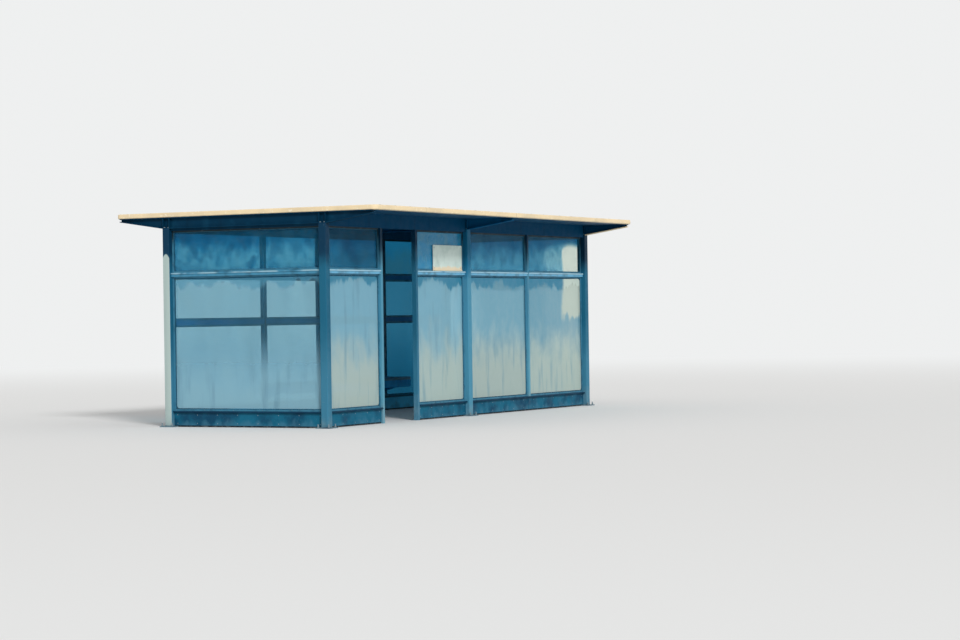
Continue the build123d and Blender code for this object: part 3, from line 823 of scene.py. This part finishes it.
# A painted highlight along the crowns of the ribs
top = patches(tree, top, CROWN_HIGHLIGHT, z, roof_high.z - 0.009, roof_high.z - 0.002, 0, 0.6)
under = patches(tree, tone(UNDER_COAT), UNDER_CLOUD, noise(tree, 2.2, 6.0), 0.45, 0.75, 0, 0.8)
colour = coat(tree, under, top, calc(tree, "GREATER_THAN", z, roof_low.z + 0.03))
paint_on(tree, surface, colour, 0.7, 0.45, 150.0, 0.0005)
dress(roof_coat, "roof_panels")

panel_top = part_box("roof_edge_front")[1].z - EDGE_SHEET
cap_end = roof_high.y - CAP_END_GAP
caps = bmesh.new()
for left, right in zip(panel_boxes, panel_boxes[1:]):
    joint = (left[1].x + right[0].x) / 2
    slab(caps, (joint - CAP_HALF, -cap_end, panel_top),
         (joint + CAP_HALF, cap_end, panel_top + CAP_TALL), CAP_EDGE)
fit("roof_joint_caps", caps, roof_coat)
beam_y = middle(front_beams).y
screw_places = [standing(Vector((middle(box).x + x, y, panel_top)))
                for box in panel_boxes for x in ROOF_SCREW_XS for y in (beam_y, 0.0, -beam_y)]
fit("roof_screws", heads(screw_places, ROOF_SCREW), zinc)

# Roof edge: a cream coated steel channel, folded with soft bends, runs round the panels and
# holds them. Rivets close it, and dirt gathers along its bends and in its joints.
EDGE_CREAM, EDGE_CLOUD, EDGE_PALE = (236, 214, 174), (222, 202, 166), (250, 238, 214)
DRIP_DIRT, JOINT_DIRT = (188, 180, 156), (120, 118, 108)
EDGE_LENGTH, DRIP_LINE = 2.4, 2.642
LIP_INSET, LIP_PITCH, LIP_MARGIN = 0.045, 0.3, 0.12
edge_low, edge_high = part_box("roof_edge_front")
edge_coat, tree, surface = new_finish("roof_edge_coat", 0.25)
x, _, z = along_axes(tree)
colour = patches(tree, tone(EDGE_CREAM), EDGE_CLOUD, noise(tree, 2.4, 6.0), 0.38, 0.66)
colour = patches(tree, colour, EDGE_PALE, noise(tree, 26.0, 4.0), 0.58, 0.7, 0, 0.6)
drip = ragged(tree, z, 0.04, 14.0, 5.0, (1, 1, 0.2))
colour = patches(tree, colour, DRIP_DIRT, drip, DRIP_LINE, DRIP_LINE + 0.01, 0.5, 0)
lengths = calc(tree, "FRACT", calc(tree, "MULTIPLY_ADD", x, 1 / EDGE_LENGTH, 0.5))
off_joint = calc(tree, "ABSOLUTE", calc(tree, "SUBTRACT", lengths, 0.5))
colour = patches(tree, colour, JOINT_DIRT, off_joint, 0.0008, 0.0014, 0.8, 0)
paint_on(tree, surface, colour, 0.55, 0.35, 200.0, 0.0004)
dress(edge_coat, "roof_edge_front", "roof_edge_back", "roof_edge_left", "roof_edge_right")

eave = -edge_low.y - LIP_INSET
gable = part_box("roof_edge_right")[1].x - LIP_INSET
rivet_places = []
for z, up in ((edge_high.z, 1), (edge_low.z, -1)):
    spots = [(x, y) for y in (-eave, eave) for x in spaced(-gable, gable, LIP_PITCH, LIP_MARGIN)]
    spots += [(x, y) for x in (-gable, gable) for y in spaced(-eave, eave, LIP_PITCH, LIP_MARGIN)]
    rivet_places += [standing(Vector((x, y, z)), (0, 0, up)) for x, y in spots]
fit("roof_edge_rivets", heads(rivet_places, RIVET), edge_coat)

# Bench: dark stained hardwood slats with eased edges on a welded steel frame that hangs on the
# back wall's uprights. Round-headed bolts, two to a slat, hold the slats on each bracket.
# The frame's navy and the slats' colour are painted far lighter than the real ones, as painted
# light that lifts the bench out of the room's deep shade
BENCH_NAVY_LIFTED, BENCH_NAVY_LIFTED_CLOUD = (28, 150, 208), (16, 128, 182)
TIMBER_LIFTED, TIMBER_GRAIN = (92, 142, 168), (50, 98, 124)
COACH_BOLT, COACH_BOLT_OFFSET = ((16, 0.009, 0.006, 0, 0.0025),), 0.035
bench_navy_lifted, tree, surface = new_finish("bench_navy_lifted", 0.15)
colour = patches(tree, tone(BENCH_NAVY_LIFTED), BENCH_NAVY_LIFTED_CLOUD, noise(tree, 7.0, 6.0), 0.4, 0.7)
paint_on(tree, surface, colour, 0.7, 0.5, 190.0, 0.0004)
dress(bench_navy_lifted, "bench_frame")
timber, tree, surface = new_finish("bench_timber", 0.25)
grain = noise(tree, 26.0, 6.0, (0.035, 1, 1))
colour = patches(tree, tone(TIMBER_LIFTED), TIMBER_GRAIN, grain, 0.35, 0.65)
paint_on(tree, surface, colour, 0.7, 0.45, 120.0, 0.0006)
dress(timber, "bench_slats")
bracket_xs = [middle(box).x for box in solid_boxes("back_mullions")] + [0.0]
bolt_places = [standing(Vector((x, middle(box).y + y, box[1].z)))
               for box in solid_boxes("bench_slats") for x in bracket_xs
               for y in (-COACH_BOLT_OFFSET, COACH_BOLT_OFFSET)]
fit("bench_bolts", heads(bolt_places, COACH_BOLT), zinc)

# Notice plate: a bare pale sheet with a folded ledge at its foot, on the glass beside the
# middle post. Four round-headed screws hold its corners, and its foot is painted a warm cream
# as painted sunlight below the eaves' shadow.
NOTICE_PALE, NOTICE_CLOUD, NOTICE_SUNLIT_FOOT = (226, 244, 236), (204, 226, 218), (240, 224, 194)
NOTICE_SCREW = ((14, 0.006, 0.004, 0, 0.0025),)
NOTICE_SCREW_IN, NOTICE_SCREW_UP = 0.03, 0.04
LEDGE_INSET, LEDGE_OUT, LEDGE_EDGE = 0.01, 0.014, 0.003
LEDGE_LOW, LEDGE_HIGH = 0.004, 0.016
notice_low, notice_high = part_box("notice_plate")
plate_coat, tree, surface = new_finish("notice_plate_coat", 0.3)
colour = patches(tree, tone(NOTICE_PALE), NOTICE_CLOUD, noise(tree, 6.0, 6.0), 0.4, 0.66)
# Painted sunlight on the plate's foot, below a ragged line
height = ragged(tree, along_axes(tree)[2], 0.12, 14.0, 5.0)
colour = patches(tree, colour, NOTICE_SUNLIT_FOOT, height, front_bar_top + 0.1, front_bar_top + 0.13,
                 0.95, 0)
paint_on(tree, surface, colour, 0.6, 0.4, 180.0, 0.0003)
dress(plate_coat, "notice_plate")
ledge = bmesh.new()
slab(ledge, (notice_low.x + LEDGE_INSET, notice_low.y - LEDGE_OUT, notice_low.z + LEDGE_LOW),
     (notice_high.x - LEDGE_INSET, notice_low.y, notice_low.z + LEDGE_HIGH), LEDGE_EDGE)
fit("notice_ledge", ledge, plate_coat)
notice_screws = [standing(Vector((x, notice_low.y, z)), (0, -1, 0))
                 for x in (notice_low.x + NOTICE_SCREW_IN, notice_high.x - NOTICE_SCREW_IN)
                 for z in (notice_low.z + NOTICE_SCREW_UP, notice_high.z - NOTICE_SCREW_IN)]
fit("notice_screws", heads(notice_screws, NOTICE_SCREW), zinc)

# Floor: a plain pale studio floor, which is no part of the shelter. It turns into the pale
# background far from the shelter.
BACKGROUND, FLOOR_PALE = (0.86, 0.87, 0.87, 1.0), (0.82, 0.82, 0.81, 1.0)
FLOOR_RADIUS, PALE_FROM, PALE_AT = 180.0, 9.0, 42.0
floor_shape = bmesh.new()
bmesh.ops.create_circle(floor_shape, cap_ends=True, segments=96, radius=FLOOR_RADIUS)
floor_mesh = bpy.data.meshes.new("studio_floor")
floor_shape.to_mesh(floor_mesh)
floor_shape.free()
floor = bpy.data.objects.new("studio_floor", floor_mesh)
bpy.context.scene.collection.objects.link(floor)
finish, tree, surface = new_finish("pale_floor", 0.1)
surface.inputs["Base Color"].default_value = FLOOR_PALE
surface.inputs["Roughness"].default_value = 0.9
away = add(tree, "VectorMath", {0: add(tree, "TexCoord", {}).outputs["Object"]},
           operation="LENGTH").outputs["Value"]
glow = add(tree, "Emission", {0: BACKGROUND, 1: 1.0}).outputs[0]
mixed = add(tree, "MixShader", {0: between(tree, away, PALE_FROM, PALE_AT),
                                1: surface.outputs[0], 2: glow}).outputs[0]
tree.links.new(mixed, tree.nodes["Material Output"].inputs["Surface"])
floor_mesh.materials.append(finish)

# Light: an even pale sky and one broad soft lamp from the front left, which leaves the wall
# heads in the shade of the eaves. The camera sees the background at its own pale tone.
SKY_STRENGTH, LAMP_STRENGTH, LAMP_SPREAD = 0.55, 2.1, 12
LAMP_FROM = (-0.9, -1.0, 0.78)
world = bpy.data.worlds.new("studio_sky")
bpy.context.scene.world = world
world.use_nodes = True
tree = world.node_tree
sky = tree.nodes["Background"]
sky.inputs[0].default_value = (1, 1, 1, 1)
sky.inputs[1].default_value = SKY_STRENGTH
seen = add(tree, "Background", {0: BACKGROUND, 1: 1.0}).outputs[0]
rays = add(tree, "LightPath", {}).outputs
direct = calc(tree, "MAXIMUM", rays["Is Camera Ray"],
              calc(tree, "MAXIMUM", rays["Is Glossy Ray"], rays["Is Transmission Ray"]))
mixed = add(tree, "MixShader", {0: direct, 1: sky.outputs[0], 2: seen}).outputs[0]
tree.links.new(mixed, tree.nodes["World Output"].inputs["Surface"])

lamp = bpy.data.lights.new("soft_key", "SUN")
lamp.energy = LAMP_STRENGTH
lamp.angle = math.radians(LAMP_SPREAD)
key = bpy.data.objects.new("soft_key", lamp)
bpy.context.scene.collection.objects.link(key)
key.rotation_euler = Vector(LAMP_FROM).to_track_quat("Z", "Y").to_euler()

# Camera: the photograph's place, direction and lens, with its slight tilt. It stands far out
# beyond the left end of the front, with the eye 1.3 m over the floor.
EYE = Vector((-29.052, -17.132, 1.335))
YAW, PITCH, ROLL = (math.radians(angle) for angle in (28.514, -0.103, 0.867))
LENS, FILM_WIDTH, FAR = 93.27, 36.0, 500.0
ahead = Vector((math.cos(YAW) * math.cos(PITCH), math.sin(YAW) * math.cos(PITCH),
                math.sin(PITCH)))
level = Vector((math.sin(YAW), -math.cos(YAW), 0))
upright = level.cross(ahead)
lens = bpy.data.cameras.new("photo_view")
lens.lens = LENS
lens.sensor_width = FILM_WIDTH
lens.clip_end = FAR
camera = bpy.data.objects.new("photo_view", lens)
bpy.context.scene.collection.objects.link(camera)
turn = Matrix((level * math.cos(ROLL) - upright * math.sin(ROLL),
               level * math.sin(ROLL) + upright * math.cos(ROLL), -ahead)).transposed()
camera.matrix_world = Matrix.Translation(EYE) @ turn.to_4x4()
bpy.context.scene.camera = camera
bpy.context.scene.view_settings.view_transform = "Standard"
